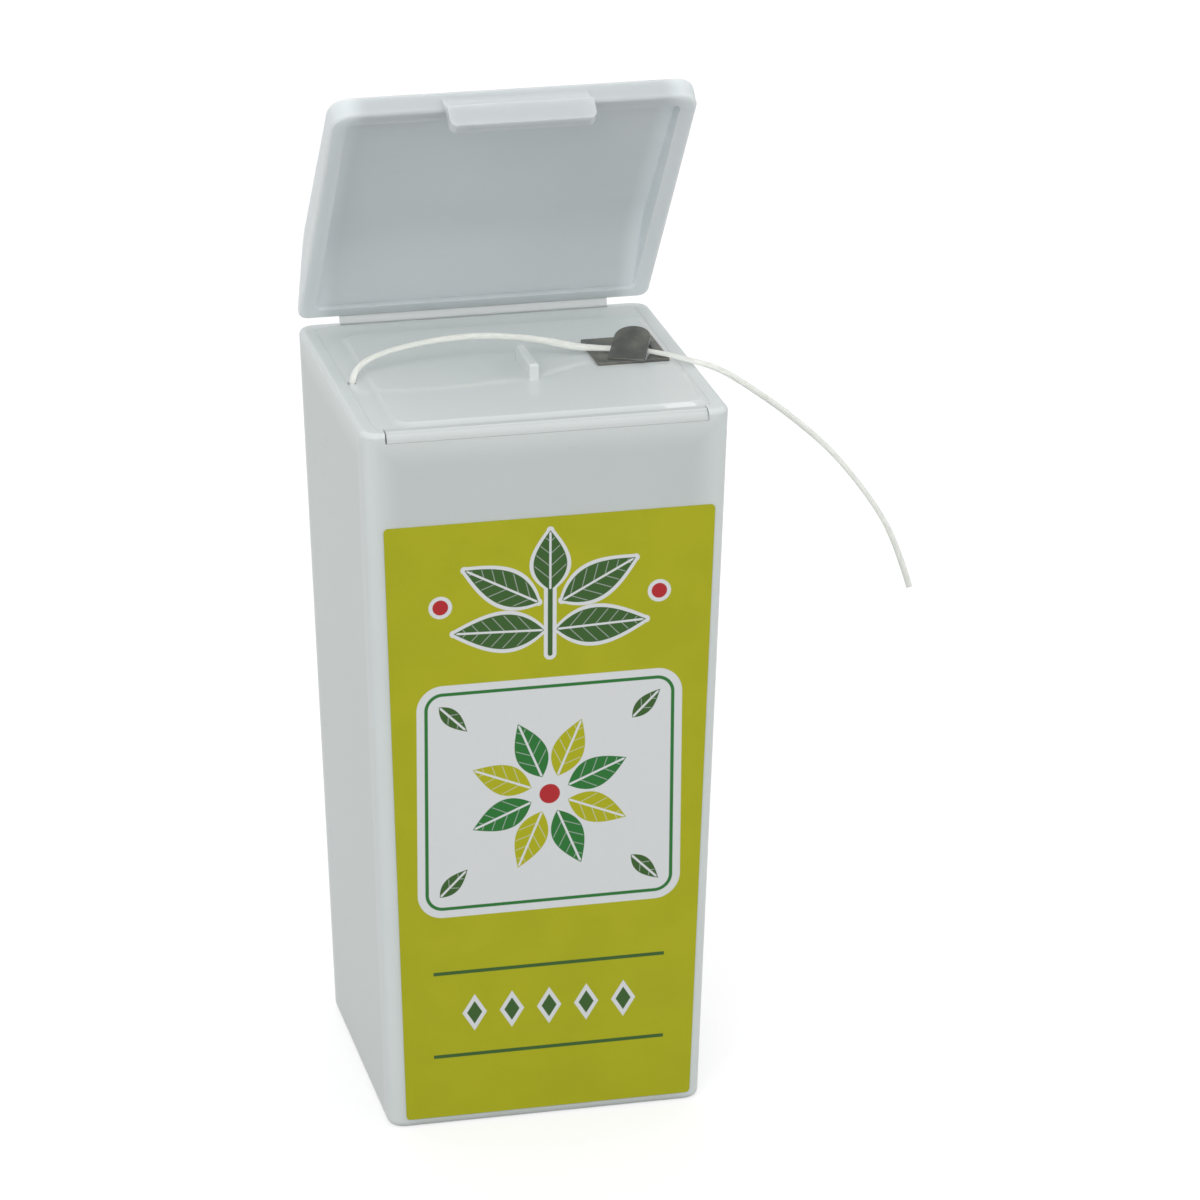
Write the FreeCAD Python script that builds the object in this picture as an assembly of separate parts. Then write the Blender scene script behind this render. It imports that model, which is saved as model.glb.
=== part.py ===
"""Flip-top dental floss dispenser: a drafted box, a lid on a living hinge, a top
insert with its floss guide and steel cutter, and a bobbin of floss inside.
Millimetres, +Z up, the origin under the middle of the base; the front is at -Y.
The lid stands open, as it is left while floss is pulled."""
import FreeCAD, Part
import math
import os

# Body: a square box that narrows towards its base
body_width = 42.0
body_depth = 41.5
body_height = 86.0
base_width = 37.1
base_depth = 36.8
body_corner_radius = 2.0
body_wall = 1.8
body_floor = 1.8
inner_corner_radius = 0.9
base_edge_radius = 0.8
rim_edge_radius = 0.6

# Notch in the front wall, filled by the insert's lip
notch_width = 36.8
notch_depth = 1.2

# Post on the floor that the bobbin turns on
post_radius = 4.5
post_height = 14.0
post_edge = 0.6

# Top insert: a plate with a skirt, pressed into the mouth of the body
insert_clearance = 0.06
insert_drop = 0.2
insert_thickness = 1.4
skirt_depth = 4.0
skirt_thickness = 1.2
lip_end_gap = 0.25
lip_setback = 0.1
lip_edge_radius = 0.9

# Plateau on the insert, with bevelled sides that plug into the lid
plateau_rise = 0.5
plateau_bevel = 0.7
plateau_left_gap = 2.1
plateau_right_gap = 0.3
plateau_front_gap = 0.25
plateau_back_gap = 3.7
plateau_corner_radius = 1.6

# Fin that keeps the strand up off the plateau
fin_length = 7.6
fin_width = 1.05
fin_height = 1.9
fin_edge = 0.3
fin_x = 1.5
fin_y = -2.8

# Outlet slot in the left edge of the insert
outlet_width = 1.7
outlet_reach = 1.5
outlet_y = -2.1

# Steel cutter: a plate with two staked legs and a tongue lanced out of it
cutter_width = 8.4
cutter_length = 9.1
cutter_thickness = 0.35
cutter_right_margin = 0.1
cutter_y = 1.25
cutter_corner_radius = 0.15
tongue_width = 4.2
tongue_length = 6.0
tongue_lift = 17.5
tongue_turn = 23.0
tongue_front_margin = 1.0
tongue_offset = 0.6
tongue_root = 0.6
tongue_window_gap = 0.15
leg_width = 3.0
leg_length = 2.2
leg_inset = 0.5
leg_clearance = 0.05

# Living hinge and its axis, just inside the back edge of the rim
hinge_length = 32.2
hinge_thickness = 0.5
hinge_axis_inset = 0.55
hinge_body_inset = 1.5

# Lid, in its closed place; heights stand above its own rim
lid_gap = 0.2
lid_wall = 1.9
lid_top_wall = 0.85
lid_front_height = 2.6
lid_knee_height = 3.9
lid_knee_distance = 13.0
lid_rear_height = 0.9
lid_rear_set = 0.9
lid_corner_radius = 2.5
lid_rear_corner_radius = 1.3
lid_inner_corner_radius = 0.8
lid_knee_radius = 20.0
lid_top_edge_radius = 0.45
lid_rim_edge_radius = 0.35
lid_open_angle = 51.3

# Thumb tab that hangs in front of the body
tab_width = 16.6
tab_thickness = 1.5
tab_drop = 3.5
tab_gap = 0.4
tab_rise = 1.6
tab_corner_radius = 0.8
tab_swell_share = 0.25
tab_shoulder_share = 0.5

# Bobbin: a tube core and the floss wound on it
core_clearance = 0.06
core_wall = 1.5
core_height = 62.0
bobbin_lift = 0.1
winding_radius = 15.0
winding_end_margin = 2.0
winding_edge_radius = 1.5

# Floss strand, and its run inside from the bobbin up to the outlet
floss_diameter = 0.55
arc_share = 0.45

# Front label, a film that follows the drafted front
label_thickness = 0.12
label_bottom = 1.1
label_top = 74.8
label_side_margin = 1.7
label_shift = 0.25
label_corner_radius = 0.5

# One overrun serves all cuts, and one tolerance tells level edges from the rest
overrun = 1.0
level_tolerance = 0.001

RIM = body_height


def vec(x, y, z):
    return FreeCAD.Vector(x, y, z)


def width_at(z):
    """Outside width of the body at a height."""
    return base_width + (body_width - base_width) * z / body_height


def depth_at(z):
    """Outside depth of the body at a height."""
    return base_depth + (body_depth - base_depth) * z / body_height


def rounded_rectangle(x0, x1, y0, y1, radius, z, back_radius=None):
    """A closed wire in a level plane, with arcs at its two front and two back corners."""
    front = radius
    back = radius if back_radius is None else back_radius
    inset_share = 1 - math.cos(math.pi / 4)
    near = front * inset_share
    far = back * inset_share
    sides = [
        (vec(x0 + front, y0, z), vec(x1 - front, y0, z)),
        (vec(x1, y0 + front, z), vec(x1, y1 - back, z)),
        (vec(x1 - back, y1, z), vec(x0 + back, y1, z)),
        (vec(x0, y1 - back, z), vec(x0, y0 + front, z)),
    ]
    middles = [
        vec(x1 - near, y0 + near, z),
        vec(x1 - far, y1 - far, z),
        vec(x0 + far, y1 - far, z),
        vec(x0 + near, y0 + near, z),
    ]
    edges = []
    for i, (start, end) in enumerate(sides):
        following = sides[(i + 1) % len(sides)][0]
        edges.append(Part.LineSegment(start, end).toShape())
        edges.append(Part.Arc(end, middles[i], following).toShape())
    return Part.Wire(edges)


def centred_rectangle(width, depth, radius, z):
    return rounded_rectangle(-width / 2, width / 2, -depth / 2, depth / 2, radius, z)


def block(x0, x1, y0, y1, z0, z1):
    return Part.makeBox(x1 - x0, y1 - y0, z1 - z0, vec(x0, y0, z0))


def prism(wire, height):
    return Part.Face(wire).extrude(vec(0, 0, height))


def side_profile(points, width):
    """A solid with a polygon in the YZ plane, centred on X."""
    corners = [vec(-width / 2, y, z) for y, z in points]
    face = Part.Face(Part.makePolygon(corners + corners[:1]))
    return face.extrude(vec(width, 0, 0))


def level_edges(shape, z):
    """The edges of a shape that lie wholly at one height."""
    return [e for e in shape.Edges if all(abs(v.Z - z) < level_tolerance for v in e.Vertexes)]


def make_body():
    outside = Part.makeLoft(
        [
            centred_rectangle(base_width, base_depth, body_corner_radius, 0),
            centred_rectangle(body_width, body_depth, body_corner_radius, RIM),
        ],
        True,
        True,
    )
    outside = outside.makeFillet(base_edge_radius, level_edges(outside, 0))
    outside = outside.makeFillet(rim_edge_radius, level_edges(outside, RIM))
    mouth = RIM + overrun
    hollow = Part.makeLoft(
        [
            centred_rectangle(
                width_at(body_floor) - 2 * body_wall,
                depth_at(body_floor) - 2 * body_wall,
                inner_corner_radius,
                body_floor,
            ),
            centred_rectangle(
                width_at(mouth) - 2 * body_wall, depth_at(mouth) - 2 * body_wall, inner_corner_radius, mouth
            ),
        ],
        True,
        True,
    )
    notch = block(
        -notch_width / 2,
        notch_width / 2,
        -body_depth / 2 - overrun,
        -body_depth / 2 + body_wall + overrun,
        RIM - notch_depth,
        mouth,
    )
    post = Part.makeCylinder(post_radius, post_height + body_floor / 2, vec(0, 0, body_floor / 2))
    post = post.makeFillet(post_edge, level_edges(post, body_floor + post_height))
    return outside.cut(hollow).cut(notch).fuse(post).removeSplitter()


# Heights and edges that the insert, cutter and lid share
insert_top = RIM - insert_drop
insert_bottom = insert_top - insert_thickness
plateau_top = insert_top + plateau_rise
mouth_half_width = body_width / 2 - body_wall
mouth_half_depth = body_depth / 2 - body_wall
plateau_left = -mouth_half_width + plateau_left_gap
plateau_right = mouth_half_width - plateau_right_gap
plateau_front = -mouth_half_depth + plateau_front_gap
plateau_back = mouth_half_depth - plateau_back_gap
cutter_right = plateau_right - plateau_bevel - cutter_right_margin
cutter_left = cutter_right - cutter_width
cutter_front = cutter_y - cutter_length / 2
cutter_back = cutter_y + cutter_length / 2
cutter_top = plateau_top + cutter_thickness


def cutter_legs(grow):
    """The two legs under the cutter, or their slots when grown by a clearance."""
    foot = plateau_top - leg_length
    legs = []
    for x in (cutter_left + leg_inset, cutter_right - leg_inset - cutter_thickness):
        legs.append(
            block(
                x - grow,
                x + cutter_thickness + grow,
                cutter_y - leg_width / 2 - grow,
                cutter_y + leg_width / 2 + grow,
                foot - grow,
                cutter_top,
            )
        )
    return legs


def make_insert():
    half_width = mouth_half_width - insert_clearance
    half_depth = mouth_half_depth - insert_clearance
    outline = centred_rectangle(2 * half_width, 2 * half_depth, inner_corner_radius, insert_bottom)
    plate = prism(outline, insert_thickness)
    plateau = Part.makeLoft(
        [
            rounded_rectangle(
                plateau_left, plateau_right, plateau_front, plateau_back, plateau_corner_radius, insert_top
            ),
            rounded_rectangle(
                plateau_left + plateau_bevel,
                plateau_right - plateau_bevel,
                plateau_front + plateau_bevel,
                plateau_back - plateau_bevel,
                plateau_corner_radius,
                plateau_top,
            ),
        ],
        True,
        True,
    )
    skirt_foot = insert_bottom - skirt_depth
    skirt_half_width = width_at(skirt_foot) / 2 - body_wall - insert_clearance
    skirt_half_depth = depth_at(skirt_foot) / 2 - body_wall - insert_clearance
    skirt = prism(
        centred_rectangle(2 * skirt_half_width, 2 * skirt_half_depth, inner_corner_radius, skirt_foot),
        skirt_depth,
    )
    skirt_room = block(
        -skirt_half_width + skirt_thickness,
        skirt_half_width - skirt_thickness,
        -skirt_half_depth + skirt_thickness,
        skirt_half_depth - skirt_thickness,
        skirt_foot - overrun,
        insert_bottom,
    )
    front = -body_depth / 2 + lip_setback
    lip = block(
        -notch_width / 2 + lip_end_gap,
        notch_width / 2 - lip_end_gap,
        front,
        -half_depth + body_wall,
        RIM - notch_depth,
        insert_top,
    )
    lip_edges = [e for e in level_edges(lip, insert_top) if e.BoundBox.YMax < front + lip_setback]
    lip = lip.makeFillet(lip_edge_radius, lip_edges)
    fin = block(
        fin_x - fin_width / 2,
        fin_x + fin_width / 2,
        fin_y - fin_length / 2,
        fin_y + fin_length / 2,
        insert_top,
        plateau_top + fin_height,
    )
    fin = fin.makeFillet(fin_edge, level_edges(fin, plateau_top + fin_height))
    outlet = block(
        -half_width - overrun,
        -half_width + outlet_reach,
        outlet_y - outlet_width / 2,
        outlet_y + outlet_width / 2,
        skirt_foot - overrun,
        plateau_top + overrun,
    )
    insert = plate.fuse([plateau, skirt.cut(skirt_room), lip, fin])
    for slot in [outlet] + cutter_legs(leg_clearance):
        insert = insert.cut(slot)
    return insert.removeSplitter()


def tongue_outline(grow, height, root):
    """The tongue lying flat along +Y from its fold at the origin, with a round tip."""
    half = tongue_width / 2 + grow
    straight = tongue_length - tongue_width / 2
    bar = block(-half, half, -root, straight, 0, height)
    return bar.fuse(Part.makeCylinder(half, height, vec(0, straight, 0)))


def make_cutter():
    outline = rounded_rectangle(
        cutter_left, cutter_right, cutter_front, cutter_back, cutter_corner_radius, plateau_top
    )
    plate = prism(outline, cutter_thickness)
    middle = (cutter_left + cutter_right) / 2
    fold = vec(middle - tongue_offset, cutter_front + tongue_front_margin, cutter_top)
    up = vec(0, 0, 1)
    window = tongue_outline(tongue_window_gap, cutter_thickness + 2 * overrun, 0)
    window.rotate(vec(0, 0, 0), up, -tongue_turn)
    window.translate(fold - vec(0, 0, cutter_thickness + overrun))
    tongue = tongue_outline(0, cutter_thickness, tongue_root)
    tongue.rotate(vec(0, 0, 0), vec(1, 0, 0), tongue_lift)
    tongue.rotate(vec(0, 0, 0), up, -tongue_turn)
    tongue.translate(fold)
    return plate.cut(window).fuse([tongue] + cutter_legs(0)).removeSplitter()


# The lid's own places: the hinge axis, and distances from it towards the front
axis_y = body_depth / 2 - hinge_axis_inset
axis_z = RIM + lid_gap / 2
lid_rim = RIM + lid_gap
lid_front_y = -body_depth / 2
lid_rear_y = axis_y - lid_rear_set
lid_knee_y = axis_y - lid_knee_distance


def open_lid(shape):
    shape.rotate(vec(0, axis_y, axis_z), vec(1, 0, 0), -lid_open_angle)
    return shape


def opened_point(y, z):
    """Where a point of the closed lid's side view goes when the lid is open."""
    turn = math.radians(lid_open_angle)
    ahead = axis_y - y
    above = z - axis_z
    return (
        axis_y - ahead * math.cos(turn) + above * math.sin(turn),
        axis_z + ahead * math.sin(turn) + above * math.cos(turn),
    )


def lid_side(front_y, rear_y, drop, foot):
    """The lid's side view: low at the front, highest at its knee, low at the hinge."""
    front_slope = (lid_knee_height - lid_front_height) / (lid_knee_y - lid_front_y)
    rear_slope = (lid_knee_height - lid_rear_height) / (lid_rear_y - lid_knee_y)
    roof = lid_rim - drop
    return [
        (front_y, foot),
        (front_y, roof + lid_knee_height - front_slope * (lid_knee_y - front_y)),
        (lid_knee_y, roof + lid_knee_height),
        (rear_y, roof + lid_knee_height - rear_slope * (rear_y - lid_knee_y)),
        (rear_y, foot),
    ]


def make_tab():
    """The thumb tab: a lip that swells out of the front face and hangs below the rim."""
    inner = lid_front_y - tab_gap
    outer = inner - tab_thickness
    bottom = lid_rim - tab_drop
    top = lid_rim + tab_rise
    root = lid_front_y + lid_wall / 2
    half = tab_width / 2
    reach = outer - lid_front_y
    swell = vec(-half, lid_front_y + reach * tab_swell_share, lid_rim + tab_rise * tab_swell_share)
    start = vec(-half, lid_front_y, top)
    shoulder = vec(-half, outer, lid_rim - tab_rise * tab_shoulder_share)
    corners = [
        shoulder,
        vec(-half, outer, bottom),
        vec(-half, inner, bottom),
        vec(-half, inner, lid_rim),
        vec(-half, root, lid_rim),
        vec(-half, root, top),
        start,
    ]
    edges = [Part.LineSegment(a, b).toShape() for a, b in zip(corners[:-1], corners[1:])]
    edges.append(Part.Arc(start, swell, shoulder).toShape())
    tab = Part.Face(Part.Wire(edges)).extrude(vec(tab_width, 0, 0))
    corner_edges = [
        e
        for e in tab.Edges
        if e.BoundBox.ZMax < bottom + tab_thickness / 2 and e.BoundBox.XLength < tab_thickness / 2
    ]
    return tab.makeFillet(tab_corner_radius, corner_edges)


def lid_form(x_half, front_y, rear_y, radius, rear_radius, drop, foot):
    """A closed lid's block: its plan outline under a roof that bends softly at the knee."""
    plan = rounded_rectangle(-x_half, x_half, front_y, rear_y, radius, foot, rear_radius)
    top = lid_rim + lid_knee_height + overrun
    roof = side_profile(lid_side(front_y - overrun, rear_y + overrun, drop, foot), body_width + 2 * overrun)
    knee = [e for e in roof.Edges if all(abs(v.Y - lid_knee_y) < level_tolerance for v in e.Vertexes)]
    roof = roof.makeFillet(lid_knee_radius, knee)
    return prism(plan, top - foot).common(roof)


def crosses_roof(edge):
    """Whether an edge is a line across the roof, at either end of its knee bend."""
    spans = edge.BoundBox.XLength > body_width - 2 * lid_wall
    return spans and lid_front_y + lid_wall < edge.CenterOfMass.y < lid_rear_y - lid_wall


def make_lid():
    shell = lid_form(
        body_width / 2, lid_front_y, lid_rear_y, lid_corner_radius, lid_rear_corner_radius, 0, lid_rim
    )
    upper = [e for e in shell.Edges if all(v.Z > lid_rim + level_tolerance for v in e.Vertexes)]
    top_edges = [e for e in upper if not crosses_roof(e)]
    shell = shell.makeFillet(lid_top_edge_radius, top_edges)
    shell = shell.makeFillet(lid_rim_edge_radius, level_edges(shell, lid_rim))
    room = lid_form(
        body_width / 2 - lid_wall,
        lid_front_y + lid_wall,
        lid_rear_y - lid_wall,
        lid_inner_corner_radius,
        lid_inner_corner_radius,
        lid_top_wall,
        lid_rim - overrun,
    )
    return open_lid(shell.cut(room).fuse(make_tab()).removeSplitter())


def make_hinge():
    """The thin web from the top of the back wall to the rear face of the open lid."""
    back = body_depth / 2 - hinge_body_inset
    low = (lid_rear_height - hinge_thickness) / 2
    return side_profile(
        [
            (back, RIM),
            (back + hinge_thickness, RIM),
            opened_point(lid_rear_y, lid_rim + low + hinge_thickness),
            opened_point(lid_rear_y, lid_rim + low),
        ],
        hinge_length,
    )


core_radius = post_radius + core_clearance + core_wall
core_foot = body_floor + bobbin_lift


def make_core():
    tube = Part.makeCylinder(core_radius, core_height, vec(0, 0, core_foot))
    bore = Part.makeCylinder(
        post_radius + core_clearance, core_height + 2 * overrun, vec(0, 0, core_foot - overrun)
    )
    return tube.cut(bore)


def make_winding():
    foot = core_foot + winding_end_margin
    height = core_height - 2 * winding_end_margin
    drum = Part.makeCylinder(winding_radius, height, vec(0, 0, foot))
    drum = drum.makeFillet(winding_edge_radius, level_edges(drum, foot) + level_edges(drum, foot + height))
    return drum.cut(Part.makeCylinder(core_radius, height + 2 * overrun, vec(0, 0, foot - overrun)))


# The strand outside: up through the outlet, over the fin, under the tongue, over
# the right rim and down to its cut end. Heights stand above the rim.
STRAND_ROUTE = [
    (-18.5, -2.1, -1.6),
    (-18.71, -1.89, 0.2),
    (-17.5, -0.6, 1.65),
    (-14.7, 0.3, 2.55),
    (-10.6, 1.2, 3.05),
    (-6.6, 1.8, 3.25),
    (-2.6, 2.05, 3.2),
    (1.4, 1.75, 2.8),
    (4.9, 1.35, 2.2),
    (7.9, 1.15, 1.35),
    (10.7, 0.95, 1.05),
    (13.1, 0.4, 0.97),
    (15.6, -0.7, 0.97),
    (18.1, -3.0, 0.97),
    (20.4, -4.9, 0.65),
    (22.5, -5.6, 0.1),
    (24.4, -6.3, -0.8),
    (27.3, -7.1, -2.75),
    (30.4, -7.8, -5.05),
    (34.4, -8.4, -8.55),
    (37.1, -8.7, -11.45),
    (41.0, -9.2, -16.7),
    (43.6, -9.5, -21.5),
    (45.3, -9.8, -27.2),
]

# The run inside, from the side of the bobbin up to the outlet
LEAD_ROUTE = [
    (-11.3, -10.75, -34.0),
    (-14.9, -6.6, -22.0),
    (-17.45, -3.15, -10.6),
    (-18.5, -2.1, -1.6),
]


def make_strand(route, name):
    """A round strand on straight runs joined by tangent arcs as large as the runs allow."""
    points = [vec(x, y, RIM + z) for x, y, z in route]
    edges = []
    radii = []
    last = points[0]
    for before, corner, after in zip(points[:-2], points[1:-1], points[2:]):
        to_before = before - corner
        to_after = after - corner
        reach = arc_share * min(to_before.Length, to_after.Length)
        inward = to_before.normalize()
        outward = to_after.normalize()
        turn = math.pi - inward.getAngle(outward)
        radius = reach / math.tan(turn / 2)
        start = corner + inward * reach
        end = corner + outward * reach
        bisector = (inward + outward).normalize()
        middle = corner + bisector * (radius / math.cos(turn / 2) - radius)
        edges.append(Part.LineSegment(last, start).toShape())
        edges.append(Part.Arc(start, middle, end).toShape())
        radii.append(radius)
        last = end
    edges.append(Part.LineSegment(last, points[-1]).toShape())
    path = Part.Wire(edges)
    length = sum(e.Length for e in edges)
    section = Part.Wire(Part.makeCircle(floss_diameter / 2, points[0], points[1] - points[0]))
    strand = path.makePipeShell([section], True, False)
    plain = math.pi * floss_diameter ** 2 / 4 * length
    print(f"{name}: length {length:.1f}, volume share {strand.Volume / plain:.4f}")
    print(f"  least radius {min(radii):.2f} of", [round(r, 1) for r in radii])
    return strand


def make_label():
    """A film on the front face, from near the base to below the rim."""

    def front_edge(z):
        half = width_at(z) / 2 - label_side_margin
        y = -depth_at(z) / 2
        return vec(label_shift - half, y, z), vec(label_shift + half, y, z)

    low_left, low_right = front_edge(label_bottom)
    high_left, high_right = front_edge(label_top)
    sheet = Part.Face(Part.makePolygon([low_left, low_right, high_right, high_left, low_left]))
    outward = sheet.normalAt(0, 0)
    if outward.y > 0:
        outward = outward * -1
    film = sheet.extrude(outward * label_thickness)
    corner_edges = [e for e in film.Edges if abs(e.Length - label_thickness) < label_thickness / 2]
    return film.makeFillet(label_corner_radius, corner_edges)


def main():
    os.makedirs("parts", exist_ok=True)
    nodes = {
        "body_shell": make_body(),
        "lid_shell": make_lid(),
        "living_hinge": make_hinge(),
        "top_insert": make_insert(),
        "cutter_clip": make_cutter(),
        "spool_core": make_core(),
        "floss_winding": make_winding(),
        "floss_strand": make_strand(STRAND_ROUTE, "floss_strand"),
        "floss_lead": make_strand(LEAD_ROUTE, "floss_lead"),
        "front_label": make_label(),
    }
    for name, shape in nodes.items():
        print(f"{name}: valid {shape.isValid()}, solids {len(shape.Solids)}, volume {shape.Volume:.1f}")
        shape.exportStep(f"parts/{name}.step")


main()
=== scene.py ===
# %% [markdown]
# # A flip-top dental floss dispenser
# The dispenser is a milky plastic box with a hinged lid, a pressed-in top with a steel cutter, and
# a bobbin of floss inside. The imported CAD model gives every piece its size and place. This lesson
# dresses it: it models what is soft, thin or wound, and paints each surface with nodes.

# %% Load the frame
import math

import bpy
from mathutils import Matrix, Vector


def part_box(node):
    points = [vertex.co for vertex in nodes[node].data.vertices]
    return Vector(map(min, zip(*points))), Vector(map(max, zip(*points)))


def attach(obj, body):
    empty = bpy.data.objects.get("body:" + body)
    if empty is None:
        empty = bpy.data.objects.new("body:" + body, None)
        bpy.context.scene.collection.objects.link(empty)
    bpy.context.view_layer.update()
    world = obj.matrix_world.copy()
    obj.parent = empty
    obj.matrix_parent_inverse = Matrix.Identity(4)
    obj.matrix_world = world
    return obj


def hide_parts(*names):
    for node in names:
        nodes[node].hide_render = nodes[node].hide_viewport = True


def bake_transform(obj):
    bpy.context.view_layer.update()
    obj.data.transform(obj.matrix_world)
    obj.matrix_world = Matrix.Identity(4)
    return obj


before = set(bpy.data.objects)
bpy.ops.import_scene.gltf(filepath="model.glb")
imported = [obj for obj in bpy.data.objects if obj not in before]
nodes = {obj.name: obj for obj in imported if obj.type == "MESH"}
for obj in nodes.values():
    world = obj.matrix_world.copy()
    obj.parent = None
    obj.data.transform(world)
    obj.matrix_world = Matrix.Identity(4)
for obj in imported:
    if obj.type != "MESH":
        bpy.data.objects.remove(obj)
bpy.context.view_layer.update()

MM = 0.001
scene = bpy.context.scene
scene.view_settings.view_transform = "Standard"
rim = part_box("body_shell")[1].z
print("pieces in the frame:", sorted(nodes))

# %% [markdown]
# ## Camera
# A product photo is taken from far away with a long lens, so that the box keeps its upright lines.
# The camera stands to the left of the front and looks down a little. Depth of field stays off.

# %% Camera
camera_place = Vector((-122.6, -575.9, 278.1)) * MM
camera_pitch = 20.55
camera_yaw = 13.03
camera_lens = 162.36

bpy.ops.object.camera_add(
    location=camera_place,
    rotation=(math.radians(90 - camera_pitch), 0, math.radians(-camera_yaw)),
)
camera = bpy.context.object
camera.name = "photo_camera"
camera.data.lens = camera_lens
camera.data.sensor_width = 36
camera.data.clip_start = 0.01
scene.camera = camera
print("camera at", tuple(round(v, 3) for v in camera.location))

# %% [markdown]
# ## Helpers for meshes
# Edit-mode tools work on the active piece and on what is selected in it, so each job starts by
# opening one piece. A CAD mesh comes as many triangles. Merging them into plain faces first leaves
# only the real edges, and those can be rounded.

# %% Helpers for meshes
merge_distance = 0.002 * MM
flat_angle = math.radians(1)


def edit(piece):
    """Open one piece in edit mode with nothing selected."""
    bpy.ops.object.select_all(action="DESELECT")
    piece.select_set(True)
    bpy.context.view_layer.objects.active = piece
    bpy.ops.object.mode_set(mode="EDIT")
    bpy.ops.mesh.select_all(action="DESELECT")


def face_outwards():
    """Turn every face of the open piece outwards, and close it."""
    bpy.ops.mesh.select_all(action="SELECT")
    bpy.ops.mesh.normals_make_consistent(inside=False)
    bpy.ops.object.mode_set(mode="OBJECT")


def apply_modifiers(piece):
    bpy.context.view_layer.objects.active = piece
    for modifier in list(piece.modifiers):
        bpy.ops.object.modifier_apply(modifier=modifier.name)


def merged_copy(node, name):
    """A copy of a CAD piece, open in edit mode, with its triangles merged into plain faces."""
    piece = bpy.data.objects.new(name, nodes[node].data.copy())
    scene.collection.objects.link(piece)
    edit(piece)
    bpy.ops.mesh.select_all(action="SELECT")
    bpy.ops.mesh.remove_doubles(threshold=merge_distance)
    bpy.ops.mesh.dissolve_limited(angle_limit=flat_angle)
    return piece


# %% [markdown]
# ## Floss
# Waxed floss is a flat bundle of fine filaments with a slow lay. It comes up through the outlet,
# arches over the fin, slips under the cutter's tongue and hangs over the right side. A smooth NURBS
# line gives the route. A ribbed oval is then carried along that line with its flat side to the
# front, and the ribs turn slowly as they go, which reads as filaments where a plain round wire would
# not. The routes are in millimetres, and their heights are measured from the rim.

# %% Floss routes
STRAND_ROUTE = [
    (-18.5, -2.1, -1.6),
    (-18.71, -1.89, 0.2),
    (-17.5, -0.6, 1.65),
    (-14.7, 0.3, 2.55),
    (-10.6, 1.2, 3.05),
    (-6.6, 1.8, 3.25),
    (-2.6, 2.05, 3.2),
    (1.4, 1.75, 2.8),
    (4.9, 1.35, 2.2),
    (7.9, 1.15, 1.35),
    (10.7, 0.95, 1.05),
    (13.1, 0.4, 0.97),
    (15.6, -0.7, 0.97),
    (18.1, -3.0, 0.97),
    (20.4, -4.9, 0.65),
    (22.5, -5.6, 0.1),
    (24.4, -6.3, -0.8),
    (27.3, -7.1, -2.75),
    (30.4, -7.8, -5.05),
    (34.4, -8.4, -8.55),
    (37.1, -8.7, -11.45),
    (41.0, -9.2, -16.7),
    (43.6, -9.5, -21.5),
    (45.3, -9.8, -27.2),
]
LEAD_ROUTE = [
    (-11.3, -10.75, -34.0),
    (-14.9, -6.6, -22.0),
    (-17.45, -3.15, -10.6),
    (-18.5, -2.1, -1.6),
]
route_order = 3
route_resolution = 12


def route_points(route, name):
    """Points along the route's smooth line, in metres."""
    curve = bpy.data.curves.new(name, "CURVE")
    curve.dimensions = "3D"
    spline = curve.splines.new("NURBS")
    spline.points.add(len(route) - 1)
    for point, (x, y, above) in zip(spline.points, route):
        point.co = (x * MM, y * MM, rim + above * MM, 1)
    spline.order_u = route_order
    spline.use_endpoint_u = True
    spline.resolution_u = route_resolution
    line = bpy.data.objects.new(name, curve)
    scene.collection.objects.link(line)
    mesh = bpy.data.meshes.new_from_object(line)
    points = [v.co.copy() for v in mesh.vertices]
    bpy.data.objects.remove(line)
    bpy.data.curves.remove(curve)
    bpy.data.meshes.remove(mesh)
    return points


strand_points = route_points(STRAND_ROUTE, "strand_line")
lead_points = route_points(LEAD_ROUTE, "lead_line")

# %% Floss ribbon
floss_width = 0.68 * MM
floss_thickness = 0.34 * MM
filament_ribs = 12
steps_per_rib = 4
rib_share = 0.07
lay_length = 9 * MM
sway_angle = 22.0
sway_length = 31 * MM
flat_side = Vector((-0.1, -0.8, 0.6)).normalized()
spread_place = 7.0 * MM
spread_reach = 3.6 * MM
spread_share = 0.22
ring = filament_ribs * steps_per_rib


def floss_rings(points, spreads):
    """The ribbed oval at each point, and how far along the line each one is."""
    verts = []
    along = []
    travelled = 0.0
    for i, point in enumerate(points):
        if i:
            travelled += (point - points[i - 1]).length
        along.append(travelled)
        ahead = points[min(i + 1, len(points) - 1)]
        behind = points[max(i - 1, 0)]
        tangent = (ahead - behind).normalized()
        across = tangent.cross(flat_side).normalized()
        lift = across.cross(tangent)
        sway = math.radians(sway_angle) * math.sin(2 * math.pi * travelled / sway_length)
        wide = across * math.cos(sway) + lift * math.sin(sway)
        flat = lift * math.cos(sway) - across * math.sin(sway)
        away = (point.x - spread_place) / spread_reach
        width = floss_width * (1 + spread_share * math.exp(-away * away) * spreads)
        phase = 2 * math.pi * travelled / lay_length
        for k in range(ring):
            angle = 2 * math.pi * k / ring
            swell = 1 + rib_share * math.cos(filament_ribs * angle + phase)
            x = width / 2 * math.cos(angle) * swell
            y = floss_thickness / 2 * math.sin(angle) * swell
            verts.append(point + wide * x + flat * y)
    return verts, along


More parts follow.
